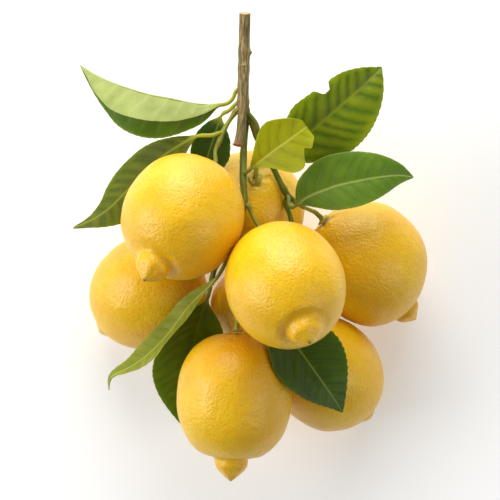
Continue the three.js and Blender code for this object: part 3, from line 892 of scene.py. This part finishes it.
YELLOW_STALK = linear(166, 168, 52)
LEAF_LOOKS = {
    "leaf_top_left": dict(upper=linear(92, 124, 20), under=linear(170, 179, 98),
                          vein=linear(104, 122, 48), rib=linear(190, 198, 124),
                          shade=linear(70, 98, 12), gloss=0.55, stalk=YELLOW_STALK),
    "leaf_left": dict(upper=linear(108, 116, 8), under=linear(160, 172, 92),
                      vein=linear(66, 80, 4), rib=linear(146, 150, 44),
                      shade=linear(84, 96, 4), gloss=0.6, streak=0.9,
                      stalk=YELLOW_STALK),
    "leaf_behind": dict(upper=linear(56, 80, 16), under=linear(120, 140, 70),
                        vein=linear(38, 60, 8), rib=linear(100, 120, 44),
                        shade=linear(42, 66, 10), stalk=YELLOW_STALK),
    "leaf_centre": dict(upper=linear(168, 171, 14), under=linear(176, 186, 70),
                        vein=linear(132, 138, 10), rib=linear(206, 206, 96),
                        shade=linear(154, 158, 12), gloss=0.48, streak=0.4, line=0.45,
                        pale=False),
    "leaf_upper_right": dict(upper=linear(134, 144, 10), under=linear(140, 156, 60),
                             vein=linear(64, 92, 8), rib=linear(126, 142, 44),
                             shade=linear(98, 118, 8), streak=0.8, line=0.14,
                             pale=False),
    "leaf_right": dict(upper=linear(106, 136, 38), under=linear(130, 152, 74),
                       vein=linear(74, 106, 22), rib=linear(170, 186, 104),
                       shade=linear(86, 118, 28), gloss=0.38, line=0.1),
    "leaf_lower_left": dict(upper=linear(108, 130, 8), under=linear(120, 136, 54),
                            vein=linear(72, 96, 4), rib=linear(120, 134, 36),
                            shade=linear(88, 112, 6)),
    "leaf_edge_on": dict(upper=linear(152, 158, 48), under=linear(160, 166, 70),
                         vein=linear(112, 124, 30), rib=linear(184, 188, 90),
                         shade=linear(122, 134, 32)),
    "leaf_lower_right": dict(upper=linear(72, 98, 8), under=linear(120, 138, 58),
                             vein=linear(44, 66, 4), rib=linear(132, 146, 60),
                             shade=linear(50, 74, 5)),
}

# %% [markdown]
# Each leaf also keeps a few facts of its own: the way that its upper face looks, how deep
# its scallops are in millimetres, and any bite that has been taken out of its edge. A bite
# is a place along the blade, a side (-1 or 1), a share of the half width, a length and how
# steep its sides are.

# %% What is special about each leaf
LEAF_WAYS = {
    "leaf_top_left": dict(looks=(0, -1, 0.2), spacing=8.5, wave=0.3, scallop=0.06),
    "leaf_left": dict(spacing=7.5, wave=0.6, scallop=0.15),
    "leaf_behind": dict(spacing=6.0),
    "leaf_centre": dict(bites=((0.8, 1, 0.42, 0.065, 2),), scallop=0.12, spacing=7.5, puff=0.1),
    "leaf_upper_right": dict(bites=((0.57, -1, 0.3, 0.05, 4),), scallop=0.35, spacing=7.5,
                             puff=0.08),
    "leaf_right": dict(scallop=0.12, spacing=7.0, wave=0.4, puff=0.1),
    "leaf_lower_left": dict(spacing=6.5, wave=0.5),
    "leaf_edge_on": dict(spacing=7.0, wave=0.8),
    "leaf_lower_right": dict(scallop=0.55, spacing=7.0, wave=0.5),
}


# %% Fine rows of a leaf
LEAF_ROWS, LEAF_COLUMNS, FACE_COLUMNS = 260, 60, 129
STEM_ROWS = 33


def leaf_rows(name, looks):
    """Both faces on fine rows and even columns, the way along, the blade's start, the end."""
    upper, lower = leaf_faces(name, looks)
    both = with_root(name, np.concatenate([upper, lower], axis=1), back=3 * MM)
    sides = upper.shape[1]
    upper, lower = both[:, :sides], both[:, sides:]
    reach = path_length((upper[:, sides // 2] + lower[:, sides // 2]) / 2)
    width = np.linalg.norm(upper[:, 0] - upper[:, -1], axis=1)
    begins = reach[int(np.argmax(width > 1.5 * width[1])) - 1]
    way = np.concatenate([np.linspace(0, begins, STEM_ROWS + 1)[:-1],
                          np.linspace(begins, reach[-1], LEAF_ROWS - STEM_ROWS)])
    knots = np.linspace(-1, 1, sides)
    even = np.linspace(-1, 1, FACE_COLUMNS)
    faces = []
    for face in (upper, lower):
        face = spline(face, reach, way)
        faces.append(np.swapaxes(spline(np.swapaxes(face, 0, 1), knots, even), 0, 1))
    return faces[0], faces[1], way, begins, reach[-1]


def edge_loss(s, q, width, along, bites, scallop, seed):
    """Share of the half width that bites and scallops take away.

    A bite is exp(-(distance / length)^steep): round for 2, flat inside for 4.
    """
    take = np.zeros(np.broadcast_shapes(s.shape, q.shape))
    for place, side, share, long, steep in bites:
        ragged = 0.2 * long * np.sin(9 * s * side + seed)
        reach = np.abs((q - place + ragged) / long)
        take = take + share * np.exp(-(reach ** steep)) * (side * s > 0)
    teeth = np.abs(np.sin(along * np.pi / 3.3 + seed + 0.7 * np.sin(along / 7)))
    return take + scallop / np.maximum(width, 3) * (1 - teeth ** 0.8) * ramp(q, 0.03, 0.12)


# %% Make the leaves
def make_leaf(name, seed, looks=(0, 0, 1), scallop=0.25, bites=(), wave=0.6, spacing=6.5,
              puff=0.15):
    """Middle face = solid's + puffs + waves; each face = middle +- half thickness + veins."""
    upper, lower, way, begins, length = leaf_rows(name, looks)
    along = (way[:, None] - begins) / MM
    q = np.clip((way[:, None] - begins) / (length - begins), 0, 1)
    blade = ramp(along, 0, 5)
    width = np.linalg.norm(upper[:, :1, :] - upper[:, -1:, :], axis=2) / 2 / MM
    even = np.linspace(-1, 1, LEAF_COLUMNS + 1)[None]
    s = 0.62 * even + 0.38 * np.sin(even * np.pi / 2)
    s = s * (1 - np.abs(s) ** 2 * blade * edge_loss(s, q, width, along, bites, scallop, seed))
    upper, lower = slide(upper, s), slide(lower, s)

    middle = (upper + lower) / 2
    face = np.cross(np.gradient(middle, axis=1), np.gradient(middle, axis=0))
    face = face / np.maximum(np.linalg.norm(face, axis=2, keepdims=True), 1e-12)
    drift = 0.9 * smooth_noise(middle, 7 * MM, seed + 2)
    line, soft, swell = vein_pattern(along + drift, s, width, spacing, seed)
    line, soft, swell = line * blade, soft * blade, swell * blade
    rib = np.exp(-((s * np.maximum(width, 1) / (0.55 - 0.3 * q)) ** 2)) * blade
    fade = blade * ramp(1 - q, 0, 0.1)
    rise = puff * swell * (1 - s ** 2) + 0.3 * smooth_noise(middle, 11 * MM, seed)
    rise = rise + wave * s ** 2 * np.sin(along / 5.4 + 2.1 * np.sign(s) + seed)
    rise = rise + 0.25 * np.abs(s) * smooth_noise(middle, 5 * MM, seed + 1)
    body = (rise * fade * MM)[..., None] * face
    groove = (0.17 * rib * (1 - 0.5 * q) + 0.07 * line * fade) * MM
    ridge = (0.1 * rib * (1 - 0.7 * q) + 0.13 * line * fade) * MM
    upper = upper + body - face * groove[..., None]
    lower = lower + body - face * ridge[..., None]
    rim = (upper[:, [0, -1]] + lower[:, [0, -1]]) / 2
    upper[:, [0, -1]] = rim

    def round_trip(over, below):
        """Values over the upper face from edge to edge and back over the lower one."""
        over, below = (np.broadcast_to(v, s.shape) for v in (over, below))
        return np.concatenate([over, below[:, -2:0:-1]], axis=1)

    grid = np.concatenate([upper, lower[:, -2:0:-1]], axis=1)
    # The rim that the finish paints pale: part margin colour, part painted highlight.
    edge = blade * bump(1 - np.abs(even), 0, 0.035)
    stem = 1 - ramp(along, -1, 6)
    values = dict(vein=round_trip(line, line), soft=round_trip(soft, soft),
                  rib=round_trip(rib, rib), edge=round_trip(edge, edge),
                  under=round_trip(0, 1), stem=round_trip(stem, stem))
    piece = build_skin(f"{name}_blade", grid, grid[0].mean(0), grid[-1].mean(0), **values)
    return settle(piece, name, leaf_finish(f"{name}_green", **LEAF_LOOKS[name]))


for seed, (name, ways) in enumerate(LEAF_WAYS.items()):
    piece = make_leaf(name, seed + 20, **ways)
    print(piece.name, "has", len(piece.data.polygons), "faces")


# %% [markdown]
# ## The floor, the light and the camera
#
# The bunch lies on a plain pale floor. Two broad soft lights, one from beyond the top of
# the bunch and one from its left, draw pale shapes on the waxy peel; a weaker one from the
# right keeps the shadows open. The floor lies just under the lowest peel and glows a
# little, like a backdrop that is lit from behind. A long lens looks straight down, so
# nothing is stretched.

# %% Floor and background
def make_floor():
    far = 3.0
    mesh = bpy.data.meshes.new("floor")
    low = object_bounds()[0].z
    corners = [(-far, -far, low), (far, -far, low), (far, far, low), (-far, far, low)]
    mesh.from_pydata(corners, [], [(0, 1, 2, 3)])
    t = Tree("floor_paint")
    colour = t.mix(t.noise(3, 2), linear(244, 244, 243), linear(248, 248, 247))
    rough = t.between(t.noise(9, 2), 0, 1, 0.75, 0.85)
    mesh.materials.append(t.finish(colour, rough, **{
        "Specular IOR Level": 0.1, "Emission Color": (1, 1, 1, 1), "Emission Strength": 0.2}))
    floor = bpy.data.objects.new("floor", mesh)
    bpy.context.scene.collection.objects.link(floor)
    floor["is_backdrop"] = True


def make_sky(strength):
    world = bpy.data.worlds.new("studio")
    world.use_nodes = True
    world.node_tree.nodes["Background"].inputs["Color"].default_value = (1, 1, 1, 1)
    world.node_tree.nodes["Background"].inputs["Strength"].default_value = strength
    bpy.context.scene.world = world


make_floor()
make_sky(0.18)


# %% Soft lights
Vector = type(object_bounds()[0])


def make_softbox(name, place, aim, size, power):
    """A square lamp at place whose face is turned to aim."""
    lamp = bpy.data.lights.new(name, "AREA")
    lamp.shape = "SQUARE"
    lamp.size = size
    lamp.energy = power
    box = bpy.data.objects.new(name, lamp)
    bpy.context.scene.collection.objects.link(box)
    toward = Vector(aim) - Vector(place)
    box.location = place
    box.rotation_euler = toward.to_track_quat("-Z", "Y").to_euler()


middle = (np.array(CAD_LOW) + CAD_HIGH) / 2
make_softbox("softbox_top", (-0.02, 0.85, 0.42), middle, 0.8, 10.5)
make_softbox("softbox_left", (-0.8, 0.0, 0.52), middle, 0.6, 6.0)
make_softbox("softbox_right", (0.75, -0.25, 0.6), middle, 0.6, 2.2)

# %% Camera
lens = bpy.data.cameras.new("camera")
lens.lens = 127.7
lens.sensor_width = 36.0
lens.clip_start = 0.01
camera = bpy.data.objects.new("camera", lens)
camera.location = (-0.0017, -0.0022, 1.0)
bpy.context.scene.collection.objects.link(camera)
bpy.context.scene.camera = camera
bpy.context.scene.view_settings.view_transform = "Standard"
print("camera looks straight down from", camera.location.z, "m")
